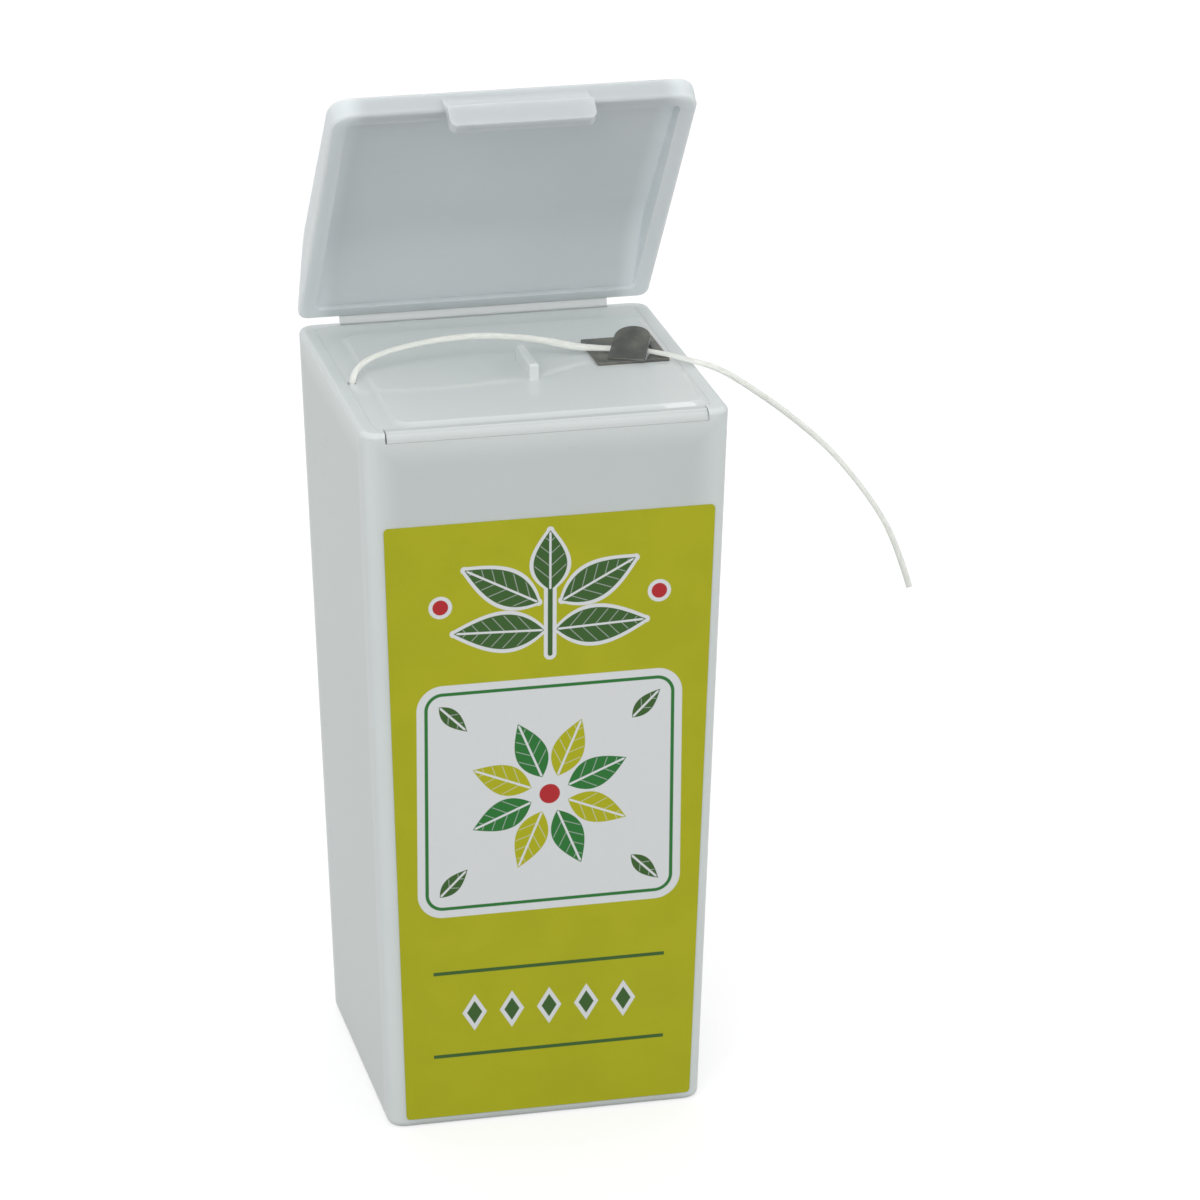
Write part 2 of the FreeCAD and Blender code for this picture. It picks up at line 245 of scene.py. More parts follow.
def floss_piece(name, points, spreads):
    """A ribbon through the points, with closed ends and a map along its length."""
    verts, along = floss_rings(points, spreads)
    faces = []
    for i in range(len(points) - 1):
        for k in range(ring):
            a = i * ring + k
            b = i * ring + (k + 1) % ring
            faces.append((a, b, b + ring, a + ring))
    faces.append(tuple(reversed(range(ring))))
    faces.append(tuple(range((len(points) - 1) * ring, len(points) * ring)))
    mesh = bpy.data.meshes.new(name)
    mesh.from_pydata([tuple(v) for v in verts], [], faces)
    lengthwise = mesh.uv_layers.new(name="lengthwise")
    for face in mesh.polygons:
        for loop in face.loop_indices:
            vertex = mesh.loops[loop].vertex_index
            turn = (vertex % ring) / ring
            lengthwise.data[loop].uv = (abs(2 * turn - 1), along[vertex // ring] / MM)
    piece = bpy.data.objects.new(name, mesh)
    scene.collection.objects.link(piece)
    edit(piece)
    face_outwards()
    bpy.ops.object.shade_smooth_by_angle(angle=math.radians(60))
    return piece


strand = floss_piece("floss_ribbon", strand_points, 1)
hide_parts("floss_strand")
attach(strand, "housing")
lead = floss_piece("floss_inside_run", lead_points, 0)
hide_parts("floss_lead")
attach(lead, "housing")
print("floss ribbon has", len(strand.data.polygons), "faces")

# %% [markdown]
# ## Wound floss
# The bobbin inside carries the floss in level turns, side by side. A ring with rounded shoulders,
# spun from a small rectangle, is the bulk of it. One more floss section, carried round by a Screw
# modifier, gives the outer layer its separate turns. A smooth cylinder would read as a plastic drum.
# Each turn is a little thinner than its pitch, so that neighbours stay separate in the mesh.

# %% Wound floss
winding_low, winding_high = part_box("floss_winding")
winding_radius = winding_high.x
winding_height = winding_high.z - winding_low.z
winding_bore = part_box("spool_core")[1].x
turn_pitch = 0.7 * MM
turn_share = 0.97
sunk_share = 0.8
shoulder = 1.2 * MM
shoulder_segments = 4
ring_steps = 72
weld_distance = 0.001 * MM
bulk_radius = winding_radius - turn_pitch * sunk_share

bpy.ops.mesh.primitive_plane_add(
    size=1,
    location=((winding_bore + bulk_radius) / 2, 0, (winding_low.z + winding_high.z) / 2),
    rotation=(math.radians(90), 0, 0),
)
winding = bpy.context.object
winding.name = "floss_turns"
winding.scale = (bulk_radius - winding_bore, winding_height, 1)
bpy.ops.object.transform_apply(location=True, rotation=True, scale=True)
for vertex in winding.data.vertices:
    vertex.select = vertex.co.x > bulk_radius - shoulder
bpy.ops.object.mode_set(mode="EDIT")
bpy.ops.mesh.select_mode(type="VERT")
bpy.ops.mesh.bevel(offset=shoulder, segments=shoulder_segments, affect="VERTICES")
bpy.ops.mesh.select_all(action="SELECT")
bpy.ops.mesh.delete(type="ONLY_FACE")
bpy.ops.mesh.select_all(action="SELECT")
bpy.ops.mesh.spin(steps=ring_steps, angle=2 * math.pi, center=(0, 0, 0), axis=(0, 0, 1))
bpy.ops.mesh.select_all(action="SELECT")
bpy.ops.mesh.remove_doubles(threshold=weld_distance)
face_outwards()
print("winding bulk has", len(winding.data.polygons), "faces")

# %% Outer turns
section_sides = 8
steps_per_turn = 40
turn_low = winding_low.z + shoulder + turn_pitch / 2
turn_count = int((winding_height - 2 * shoulder - turn_pitch) / turn_pitch)
bpy.ops.mesh.primitive_circle_add(
    vertices=section_sides,
    radius=turn_share * turn_pitch / 2,
    location=(winding_radius - turn_pitch / 2, 0, turn_low),
    rotation=(math.radians(90), 0, 0),
)
turns = bpy.context.object
bpy.ops.object.transform_apply(location=True, rotation=True, scale=True)
screw = turns.modifiers.new("level_turns", "SCREW")
screw.angle = 2 * math.pi
screw.screw_offset = turn_pitch
screw.iterations = turn_count
screw.steps = steps_per_turn
screw.render_steps = steps_per_turn
apply_modifiers(turns)
edit(turns)
bpy.ops.mesh.select_all(action="SELECT")
bpy.ops.mesh.remove_doubles(threshold=weld_distance)
bpy.ops.mesh.fill_holes(sides=section_sides)
face_outwards()
bpy.ops.object.select_all(action="DESELECT")
turns.select_set(True)
winding.select_set(True)
bpy.context.view_layer.objects.active = winding
bpy.ops.object.join()
bpy.ops.object.shade_smooth_by_angle(angle=math.radians(50))
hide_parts("floss_winding")
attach(winding, "bobbin")
print("winding has", turn_count, "outer turns and", len(winding.data.polygons), "faces")

# %% [markdown]
# ## Hinge web
# The lid and the box are one moulding, joined by a thin web that bends each time the lid is opened.
# A fine grid gives the web enough rows to bend smoothly. Its ends sink a little into both walls, and
# its middle is thinned, as a moulded hinge is.

# %% Hinge web
web_low = Vector((0, 19.5, 85.9)) * MM
web_high = Vector((0, 20.13, 87.27)) * MM
web_thickness = 0.46 * MM
web_columns = 8
web_rows = 12
web_thinning = 0.07 * MM
hinge_low, hinge_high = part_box("living_hinge")
web_length = hinge_high.x - hinge_low.x
web_rise = web_high - web_low
web_middle = (web_low + web_high) / 2
thinned_reach = web_rise.length / 6

bpy.ops.mesh.primitive_grid_add(
    x_subdivisions=web_columns,
    y_subdivisions=web_rows,
    size=1,
    location=web_middle,
    rotation=(math.atan2(web_rise.z, web_rise.y), 0, 0),
)
web = bpy.context.object
web.name = "hinge_web"
web.scale = (web_length, web_rise.length, 1)
bpy.ops.object.transform_apply(location=True, rotation=True, scale=True)
wall = web.modifiers.new("web_wall", "SOLIDIFY")
wall.thickness = web_thickness
wall.offset = 0
apply_modifiers(web)
for vertex in web.data.vertices:
    vertex.select = abs((vertex.co - web_middle).dot(web_rise.normalized())) < thinned_reach
bpy.ops.object.mode_set(mode="EDIT")
bpy.ops.mesh.select_mode(type="VERT")
bpy.ops.transform.shrink_fatten(value=-web_thinning)
bpy.ops.object.mode_set(mode="OBJECT")
bpy.ops.object.shade_smooth_by_angle(angle=math.radians(40))
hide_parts("living_hinge")
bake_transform(web)
print("hinge web is", round(web_length / MM, 1), "mm long in", web_rows, "rows")

# %% [markdown]
# ## Cutter
# The cutter is a thin stamped plate with a lanced tongue that holds and cuts the floss. The CAD
# solid has the shape. A merged copy of it gets its edges broken by a hair, so that they catch the
# light as stamped steel does.

# %% Cutter
edge_break = 0.05 * MM
break_segments = 2
cutter = merged_copy("cutter_clip", "cutter_plate")
bpy.ops.object.mode_set(mode="OBJECT")
broken = cutter.modifiers.new("broken_edges", "BEVEL")
broken.width = edge_break
broken.segments = break_segments
broken.limit_method = "ANGLE"
broken.angle_limit = math.radians(35)
apply_modifiers(cutter)
bpy.ops.object.shade_smooth_by_angle(angle=math.radians(30))
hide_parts("cutter_clip")
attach(cutter, "housing")
print("cutter has", len(cutter.data.polygons), "faces")

# %% [markdown]
# ## Top insert
# The top is a second moulding, pressed into the mouth of the box. The CAD solid leaves a hair of
# room around it for the fit. On the real thing the press fit closes that room, and an open gap would
# show as a black line, which milky plastic doesn't have. So a copy is grown by a few hundredths of a
# millimetre until it meets the walls, and its border is lifted level with the rim. The mouth of the
# floss outlet is pinched, since the real one closes round the floss. The edges of its plateau and
# fin are rounded as well, because a polished mould has no sharp ones. Weighted normals then keep the
# flat faces flat to the light beside those small roundings.

# %% Top insert
press_fit = 1.0036
border_lift = 0.18 * MM
border_height = rim - 0.2 * MM
level_tolerance = 0.01 * MM
lip_start = -19.0 * MM
lip_right_end = 18.0 * MM
lip_right_growth = 0.14 * MM
outlet_edge = Vector((-19.14, -2.0)) * MM
outlet_reach = Vector((1.7, 1.1)) * MM
outlet_pinch = Vector((0.68, 0.58))
sharp_angle = math.radians(25)
plateau_round = 0.22 * MM
plateau_segments = 3
raised = rim + 0.1 * MM

insert = merged_copy("top_insert", "insert_plate")
bpy.ops.mesh.select_mode(type="EDGE")
bpy.ops.mesh.select_all(action="DESELECT")
bpy.ops.mesh.edges_select_sharp(sharpness=sharp_angle)
bpy.ops.object.mode_set(mode="OBJECT")
for vertex in insert.data.vertices:
    if abs(vertex.co.z - border_height) < level_tolerance:
        vertex.co.z += border_lift
        from_edge = vertex.co.xy - outlet_edge
        if from_edge.x < outlet_reach.x and abs(from_edge.y) < outlet_reach.y:
            vertex.co.xy = outlet_edge + from_edge * outlet_pinch
    if vertex.co.y < lip_start and vertex.co.x > lip_right_end:
        vertex.co.x += lip_right_growth
for edge in insert.data.edges:
    lowest = min(insert.data.vertices[end].co.z for end in edge.vertices)
    edge.select = edge.select and lowest > raised
rounded = sum(edge.select for edge in insert.data.edges)
bpy.ops.object.mode_set(mode="EDIT")
bpy.ops.mesh.bevel(
    offset=plateau_round, segments=plateau_segments, affect="EDGES", clamp_overlap=True
)
bpy.ops.object.mode_set(mode="OBJECT")
insert.scale = (press_fit, press_fit, 1)
bpy.ops.object.transform_apply(location=False, rotation=False, scale=True)
bpy.ops.object.shade_smooth_by_angle(angle=math.radians(35))
flat_faces = insert.modifiers.new("flat_faces", "WEIGHTED_NORMAL")
flat_faces.keep_sharp = True
apply_modifiers(insert)
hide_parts("top_insert")
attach(insert, "housing")
print("insert has", rounded, "rounded edges and", len(insert.data.polygons), "faces")

# %% [markdown]
# ## Helpers for materials
# Every finish below is built from nodes, with no picture. Most read Object coordinates, which need
# no unwrapping, and the floss reads the map that its mesh carries. A few short helpers keep the node
# work readable.

# %% Helpers for materials
def shader_group(name, inputs, outputs):
    """An empty shader node group with named number sockets."""
    group = bpy.data.node_groups.new(name, "ShaderNodeTree")
    for label, value in inputs:
        socket = group.interface.new_socket(label, in_out="INPUT", socket_type="NodeSocketFloat")
        socket.default_value = value
    for label in outputs:
        group.interface.new_socket(label, in_out="OUTPUT", socket_type="NodeSocketFloat")
    wants = group.nodes.new("NodeGroupInput").outputs
    gives = group.nodes.new("NodeGroupOutput").inputs
    return group, wants, gives


def new_material(name):
    material = bpy.data.materials.new(name)
    material.use_nodes = True
    return material, material.node_tree, material.node_tree.nodes["Principled BSDF"]


def dress(piece, material):
    piece.data.materials.clear()
    piece.data.materials.append(material)


def feed(tree, socket, value):
    """Link a socket to an input, or write a plain number on it."""
    if isinstance(value, bpy.types.NodeSocket):
        tree.links.new(value, socket)
    else:
        socket.default_value = value


def calc(tree, operation, a, b=0.0, clamp=False):
    """A math node whose inputs are sockets or plain numbers."""
    node = tree.nodes.new("ShaderNodeMath")
    node.operation = operation
    node.use_clamp = clamp
    feed(tree, node.inputs[0], a)
    feed(tree, node.inputs[1], b)
    return node.outputs[0]


def plus(tree, a, b):
    return calc(tree, "ADD", a, b)


def minus(tree, a, b):
    return calc(tree, "SUBTRACT", a, b)


def times(tree, a, b):
    return calc(tree, "MULTIPLY", a, b)


def least(tree, a, b):
    return calc(tree, "MINIMUM", a, b)


def most(tree, a, b):
    return calc(tree, "MAXIMUM", a, b)


def size_of(tree, a):
    return calc(tree, "ABSOLUTE", a)


def ramp(tree, value, low, high):
    """Nothing at low, one at high, and a smooth step between them."""
    node = tree.nodes.new("ShaderNodeMapRange")
    node.interpolation_type = "SMOOTHSTEP"
    feed(tree, node.inputs["Value"], value)
    feed(tree, node.inputs["From Min"], low)
    feed(tree, node.inputs["From Max"], high)
    return node.outputs["Result"]


def noise(tree, vector, scale, detail=2.0):
    node = tree.nodes.new("ShaderNodeTexNoise")
    node.inputs["Scale"].default_value = scale
    node.inputs["Detail"].default_value = detail
    tree.links.new(vector, node.inputs["Vector"])
    return node.outputs["Fac"]


def mixed(tree, below, above, mask, blend="MIX"):
    """One colour laid over another where the mask says."""
    node = tree.nodes.new("ShaderNodeMix")
    node.data_type = "RGBA"
    node.blend_type = blend
    feed(tree, node.inputs["Factor"], mask)
    for label, colour in (("A", below), ("B", above)):
        slot = [s for s in node.inputs if s.name == label and s.type == "RGBA"][0]
        feed(tree, slot, colour if isinstance(colour, bpy.types.NodeSocket) else (*colour, 1))
    return [s for s in node.outputs if s.type == "RGBA"][0]


def stretched(tree, vector, scale, turn=(0, 0, 0)):
    """A vector that is turned and scaled by a Mapping node."""
    mapping = tree.nodes.new("ShaderNodeMapping")
    mapping.inputs["Scale"].default_value = scale
    mapping.inputs["Rotation"].default_value = turn
    tree.links.new(vector, mapping.inputs["Vector"])
    return mapping.outputs["Vector"]


def placed(tree, scale=(1, 1, 1), turn=(0, 0, 0)):
    """Object coordinates, scaled and turned."""
    return stretched(tree, tree.nodes.new("ShaderNodeTexCoord").outputs["Object"], scale, turn)


def in_millimetres(tree):
    """Object coordinates in millimetres, as separate X, Y and Z."""
    spot = tree.nodes.new("ShaderNodeSeparateXYZ")
    tree.links.new(placed(tree, (1 / MM, 1 / MM, 1 / MM)), spot.inputs["Vector"])
    return spot.outputs


def relief(tree, shader, height, strength, depth):
    """A bump on the shader's normal."""
    bump = tree.nodes.new("ShaderNodeBump")
    bump.inputs["Strength"].default_value = strength
    bump.inputs["Distance"].default_value = depth
    tree.links.new(height, bump.inputs["Height"])
    tree.links.new(bump.outputs["Normal"], shader.inputs["Normal"])


# %% [markdown]
# ## Studio
# The set is a white floor under an even sky. A broad soft key lamp stands high at the front left, so
# that it reaches under the open lid, with weaker lamps overhead, behind and at both sides. The light
# is at a plain level, so a pale surface shows about the colour it was given. The floor sends back
# less light than white paper would, which keeps the upright faces a step darker than the top. To the
# camera and in reflections it gets enough glow of its own to be white away from the shadow.

# %% Studio
floor_size = 6.0
floor_shade = 0.42
floor_glow = 0.62
sky_strength = 0.58
lamp_aim = Vector((0, 0, 0.06))
lamps = [
    ("key_softbox", (-0.42, -1.08, 0.86), 0.9, 8.5),
    ("overhead_softbox", (0.0, 0.1, 1.4), 1.0, 2.0),
    ("left_softbox", (-1.235, -0.26, 0.45), 0.9, 2.2),
    ("right_softbox", (1.17, -0.39, 0.515), 0.9, 3.8),
    ("rear_softbox", (0.0, 1.0, 1.2), 0.9, 4.2),
]

world = bpy.data.worlds.new("studio_sky")
world.use_nodes = True
sky = world.node_tree.nodes["Background"]
sky.inputs["Color"].default_value = (1, 1, 1, 1)
sky.inputs["Strength"].default_value = sky_strength
scene.world = world

bpy.ops.mesh.primitive_plane_add(size=floor_size)
floor = bpy.context.object
floor.name = "studio_floor"
paper, tree, sheet = new_material("white_paper")
sheet.inputs["Base Color"].default_value = (floor_shade, floor_shade, floor_shade, 1)
sheet.inputs["Roughness"].default_value = 1.0
sheet.inputs["Specular IOR Level"].default_value = 0.0
sheet.inputs["Emission Color"].default_value = (1, 1, 1, 1)
rays = tree.nodes.new("ShaderNodeLightPath").outputs
seen = most(tree, rays["Is Camera Ray"], rays["Is Glossy Ray"])
seen = most(tree, seen, rays["Is Transmission Ray"])
tree.links.new(times(tree, seen, floor_glow), sheet.inputs["Emission Strength"])
dress(floor, paper)

for lamp_name, lamp_place, size, power in lamps:
    bpy.ops.object.light_add(type="AREA", location=lamp_place)
    lamp = bpy.context.object
    lamp.name = lamp_name
    lamp.data.size = size
    lamp.data.energy = power
    lamp.rotation_euler = (lamp_aim - Vector(lamp_place)).to_track_quat("-Z", "Y").to_euler()
print("studio has", len(lamps), "lamps")

# %% [markdown]
# ## Moulded surface
# All the plastics share the same small faults: a fine grain from the mould, a slow unevenness,
# scuffs from handling, and now and then a dark speck. They go into one group, and each plastic sets
# how strong they are.

# %% Moulded surface
grain_scale = 2600
cloud_scale = 75
scratch_scale = (300, 300, 2600)
scratch_turn = (0.5, 0.7, 0.2)
patch_scale = 120
speck_scale = 62
speck_turn = (0.3, 0.2, 0.9)
cloud_shade = 0.16
scuff_shade = 0.06
speck_shade = 0.45
cloud_roughness = 0.2
scuff_roughness = 0.25

moulded, wants, gives = shader_group(
    "moulded_surface",
    [("Roughness", 0.4), ("Grain", 0.5), ("Cloud", 0.5), ("Scuffs", 0.3), ("Specks", 1.0)],
    ["Shade", "Roughness", "Height"],
)
grain = noise(moulded, placed(moulded), grain_scale)
cloud = noise(moulded, placed(moulded), cloud_scale, 3.0)
scratch = noise(moulded, placed(moulded, scratch_scale, scratch_turn), 1.0, 1.0)
patch = noise(moulded, placed(moulded), patch_scale, 1.0)
scuff = times(moulded, ramp(moulded, scratch, 0.66, 0.74), ramp(moulded, patch, 0.52, 0.68))
scuff = times(moulded, scuff, wants["Scuffs"])
cells = moulded.nodes.new("ShaderNodeTexVoronoi")
cells.inputs["Scale"].default_value = speck_scale
moulded.links.new(placed(moulded, (1, 1, 1), speck_turn), cells.inputs["Vector"])
speck = ramp(moulded, cells.outputs["Distance"], 0.011, 0.006)
speck = times(moulded, speck, wants["Specks"])
uneven = times(moulded, minus(moulded, cloud, 0.5), wants["Cloud"])
shade = plus(moulded, times(moulded, uneven, cloud_shade), 1.0)
shade = minus(moulded, shade, times(moulded, scuff, scuff_shade))
shade = minus(moulded, shade, times(moulded, speck, speck_shade))
rough = plus(moulded, wants["Roughness"], times(moulded, scuff, scuff_roughness))
rough = calc(moulded, "ADD", rough, times(moulded, uneven, cloud_roughness), clamp=True)
height = minus(moulded, times(moulded, grain, wants["Grain"]), scuff)
moulded.links.new(shade, gives["Shade"])
moulded.links.new(rough, gives["Roughness"])
moulded.links.new(height, gives["Height"])
print("group", moulded.name, "has", len(moulded.nodes), "nodes")

# %% [markdown]
# ## Milky plastic
# The box, lid and hinge are natural polypropylene. It has no pigment, so it is a cool grey white,
# and light sinks in and passes through the thin walls. Subsurface scattering gives that on the lid,
# whose roof is under a millimetre, and painted light, a paler tone, lies on the lid's side walls and
# the roof beside them. On the thick box scattering would darken every seam, so there it stays
# shallow, and painted light, a paler tone towards the edges, stands for the light that gathers in
# them. The box has a satin face; the top insert is smoother and mirrors the floss above it. Its
# paler colour is painted light, for the light that the milky lid lets through onto it. Its lip faces
# the key lamp, and painted shade there, a darker tone, evens it out, as deep scattering does in the
# real plastic.

# %% Milky plastic
foot_half = Vector((37.1, 36.8)) / 2
top_half = Vector((42.0, 41.5)) / 2
edge_light_reach = 4.5
# Painted light: this gain makes the box's edges and rim paler.
painted_edge_light_gain = 1.2
# Painted light: this gain makes the lid's side walls and the roof beside them paler.
painted_lid_light_gain = 1.28
# Painted shade: this gain makes the insert's lip darker.
painted_lip_shade_gain = 0.87
plastic_ior = 1.49


def edge_light_of_box(tree):
    """A mask of painted light, one at the box's upright edges and rim, that fades along the faces.
    """
    spot = in_millimetres(tree)
    gaps = []
    for axis, foot, top in (("X", foot_half.x, top_half.x), ("Y", foot_half.y, top_half.y)):
        half = plus(tree, times(tree, spot["Z"], (top - foot) / (rim / MM)), foot)
        gaps.append(minus(tree, half, size_of(tree, spot[axis])))
    to_edge = most(tree, gaps[0], gaps[1])
    to_rim = minus(tree, rim / MM, spot["Z"])
    return ramp(tree, least(tree, to_edge, to_rim), edge_light_reach, 0.0)


def edge_light_of_lid(tree):
    """A mask of painted light on the lid's side walls and the roof beside them, lit from two sides.
    """
    out = size_of(tree, in_millimetres(tree)["X"])
    return ramp(tree, out, top_half.x - 4.4, top_half.x - 1.6)


def painted_lip_shade_of_insert(tree):
    """A mask of painted shade on the insert's front lip, which faces the key lamp."""
    return ramp(tree, in_millimetres(tree)["Y"], lip_start / MM + 0.2, lip_start / MM - 0.2)


def plastic(name, colour, faults, scatter_weight, scatter_depth, painted_light_and_shade_zone=None, painted_light_and_shade_gain=1.0):
    """A moulded finish: its colour, the strengths of the shared faults, and a zone of painted light,
    or of painted shade where its gain is below one.
    """
    material, tree, shader = new_material(name)
    surface = tree.nodes.new("ShaderNodeGroup")
    surface.node_tree = moulded
    for label, value in faults.items():
        surface.inputs[label].default_value = value
    paint = colour
    # The zone's tone is painted light or painted shade, scaled by the gain.
    if painted_light_and_shade_zone:
        paint = mixed(tree, colour, [c * painted_light_and_shade_gain for c in colour], painted_light_and_shade_zone(tree))
    paint = mixed(tree, paint, surface.outputs["Shade"], 1.0, "MULTIPLY")
    tree.links.new(paint, shader.inputs["Base Color"])
    tree.links.new(surface.outputs["Roughness"], shader.inputs["Roughness"])
    relief(tree, shader, surface.outputs["Height"], 0.5, 0.02 * MM)
    shader.inputs["IOR"].default_value = plastic_ior
    shader.inputs["Subsurface Weight"].default_value = scatter_weight
    shader.inputs["Subsurface Radius"].default_value = (1, 1, 1)
    shader.inputs["Subsurface Scale"].default_value = scatter_depth
    return material


# %% Plastics
satin = {"Roughness": 0.38, "Grain": 0.5, "Cloud": 0.5, "Scuffs": 0.4, "Specks": 1.0}
glossy = {"Roughness": 0.07, "Grain": 0.05, "Cloud": 0.15, "Scuffs": 0.12, "Specks": 0.0}
plain = {"Roughness": 0.5, "Grain": 0.6, "Cloud": 0.4, "Scuffs": 0.2, "Specks": 0.0}
milky_plastic = plastic(
    "milky_plastic", (0.54, 0.58, 0.572), satin, 0.3, 0.5 * MM, edge_light_of_box, painted_edge_light_gain
)
thin_plastic = plastic(
    "thin_milky_plastic", (0.527, 0.56, 0.572), satin, 1.0, 2.5 * MM, edge_light_of_lid, painted_lid_light_gain
)
# The insert's paler colour is painted light, for the light that the milky lid lets through onto it;
# its lip carries painted shade.
insert_plastic = plastic(
    "insert_plastic", (0.685, 0.725, 0.718), glossy, 0.2, 0.4 * MM, painted_lip_shade_of_insert, painted_lip_shade_gain
)
core_plastic = plastic("core_plastic", (0.72, 0.72, 0.69), plain, 0.2, 1.0 * MM)
dress(nodes["body_shell"], milky_plastic)
dress(nodes["lid_shell"], thin_plastic)
dress(web, thin_plastic)
dress(insert, insert_plastic)
dress(nodes["spool_core"], core_plastic)
print("plastics:", milky_plastic.name, thin_plastic.name, insert_plastic.name, core_plastic.name)

# %% [markdown]
# ## Steel
# The cutter is dark spring steel. Rolling leaves fine lines along the strip, and handling leaves
# blotches that are a little brighter and browner than the rest. A metal's colour comes from what it
# mirrors, so its base is a mid grey and its roughness decides how much it shows.

# %% Steel
STEEL_DARK = (0.17, 0.171, 0.16)
STEEL_BROWN = (0.28, 0.272, 0.235)
STEEL_LINE = (0.32, 0.32, 0.305)
line_scale = (900, 9000, 900)
line_turn = (0, 0, 0.3)
blotch_scale = 420
line_share = 0.35

cutter_steel, tree, shader = new_material("cutter_steel")
lines = noise(tree, placed(tree, line_scale, line_turn), 1.0, 3.0)
blotch = noise(tree, placed(tree), blotch_scale, 3.0)
tint = mixed(tree, STEEL_DARK, STEEL_BROWN, ramp(tree, blotch, 0.3, 0.75))
tint = mixed(tree, tint, STEEL_LINE, times(tree, ramp(tree, lines, 0.5, 0.8), line_share))
tree.links.new(tint, shader.inputs["Base Color"])
shader.inputs["Metallic"].default_value = 0.85
wear = plus(tree, times(tree, lines, 0.22), 0.3)
tree.links.new(wear, shader.inputs["Roughness"])
relief(tree, shader, lines, 0.25, 0.01 * MM)
dress(cutter, cutter_steel)
print("steel has", len(tree.nodes), "nodes")

# %% [markdown]
# ## Waxed floss finish
# Wax fills the bundle and leaves it slightly clear and shiny along the filaments. Streaks that run
# along the length come from a noise that is squeezed across the ribbon, read from the ribbon's own
# map. The wound turns have no such map, so theirs is stretched round the bobbin in Object
# coordinates.

# %% Waxed floss finish
WAX_SHADE = (0.68, 0.70, 0.65)
WAX_LIGHT = (0.84, 0.855, 0.815)
ribbon_scale = (14, 0.7, 1)
bobbin_scale = (260, 260, 5200)


def along_ribbon(tree):
    chart = tree.nodes.new("ShaderNodeUVMap")
    chart.uv_map = "lengthwise"
    return stretched(tree, chart.outputs["UV"], ribbon_scale)


def round_bobbin(tree):
    return placed(tree, bobbin_scale)


def floss_finish(name, vector_of):
    """A waxed finish whose streaks follow the given vector."""
    material, tree, shader = new_material(name)
    streaks = noise(tree, vector_of(tree), 1.0, 3.0)
    colour = mixed(tree, WAX_SHADE, WAX_LIGHT, ramp(tree, streaks, 0.3, 0.7))
    tree.links.new(colour, shader.inputs["Base Color"])
    gloss = plus(tree, times(tree, streaks, 0.3), 0.28)
    tree.links.new(gloss, shader.inputs["Roughness"])
    relief(tree, shader, streaks, 0.4, 0.02 * MM)
    shader.inputs["Subsurface Weight"].default_value = 0.5
    shader.inputs["Subsurface Radius"].default_value = (1, 1, 0.9)
    shader.inputs["Subsurface Scale"].default_value = 0.4 * MM
    return material


ribbon_floss = floss_finish("waxed_floss", along_ribbon)
wound_floss = floss_finish("wound_floss", round_bobbin)
dress(strand, ribbon_floss)
dress(lead, ribbon_floss)
dress(winding, wound_floss)
print("floss finishes:", ribbon_floss.name, wound_floss.name)

# %% [markdown]
# ## Label
# The film on the front is printed in lime, white, greens and red. Its design here is a plain herbal
# one: a sprig at the top, a white panel with a rosette of leaves, and a row of lozenges at the foot.
# Each motif is a small formula in millimetres on the front face, so the print stays sharp at any
# size. Two groups do the drawing. One measures the distance to a rounded panel, and one measures a
# leaf.

# %% Panel group
PLACE_INPUTS = [("X", 0), ("Z", 0), ("Middle X", 0), ("Middle Z", 0)]


def rounded_distance(tree, a, b):
    """The distance to a corner from how far two sides are passed; below zero inside both."""
    inside = least(tree, most(tree, a, b), 0.0)
    squares = [calc(tree, "POWER", most(tree, gap, 0.0), 2.0) for gap in (a, b)]
    outside = calc(tree, "SQRT", plus(tree, squares[0], squares[1]))
    return plus(tree, inside, outside)


panel, wants, gives = shader_group(
    "panel_distance",
    PLACE_INPUTS + [("Half Width", 1), ("Half Height", 1), ("Corner", 0.1)],
    ["Distance"],
)
sides = []
for axis, centre, half in (("X", "Middle X", "Half Width"), ("Z", "Middle Z", "Half Height")):
    away = size_of(panel, minus(panel, wants[axis], wants[centre]))
    sides.append(plus(panel, minus(panel, away, wants[half]), wants["Corner"]))
to_panel = minus(panel, rounded_distance(panel, sides[0], sides[1]), wants["Corner"])
panel.links.new(to_panel, gives["Distance"])
print("group", panel.name, "has", len(panel.nodes), "nodes")

# %% Leaf group
leaf_skew = 0.3
branch_slope = 0.9
branch_pitch = 1.5
branch_strength = 0.4

leaf, wants, gives = shader_group(
    "leaf_distance",
    PLACE_INPUTS + [("Turn", 0), ("Length", 8), ("Width", 3)],
    ["Distance", "Vein"],
)
dx = minus(leaf, wants["X"], wants["Middle X"])
dz = minus(leaf, wants["Z"], wants["Middle Z"])
cosine = calc(leaf, "COSINE", wants["Turn"])
sine = calc(leaf, "SINE", wants["Turn"])
along = plus(leaf, times(leaf, dx, cosine), times(leaf, dz, sine))
across = size_of(leaf, minus(leaf, times(leaf, dz, cosine), times(leaf, dx, sine)))
half_length = times(leaf, wants["Length"], 0.5)
half_width = times(leaf, wants["Width"], 0.5)
share = most(leaf, least(leaf, calc(leaf, "DIVIDE", along, half_length), 1.0), -1.0)
bulge = minus(leaf, 1.0, times(leaf, share, share))
skew = minus(leaf, 1.0, times(leaf, share, leaf_skew))
past_side = minus(leaf, across, times(leaf, half_width, times(leaf, bulge, skew)))
past_tip = minus(leaf, size_of(leaf, along), half_length)
outline = rounded_distance(leaf, past_tip, past_side)
leaf.links.new(outline, gives["Distance"])

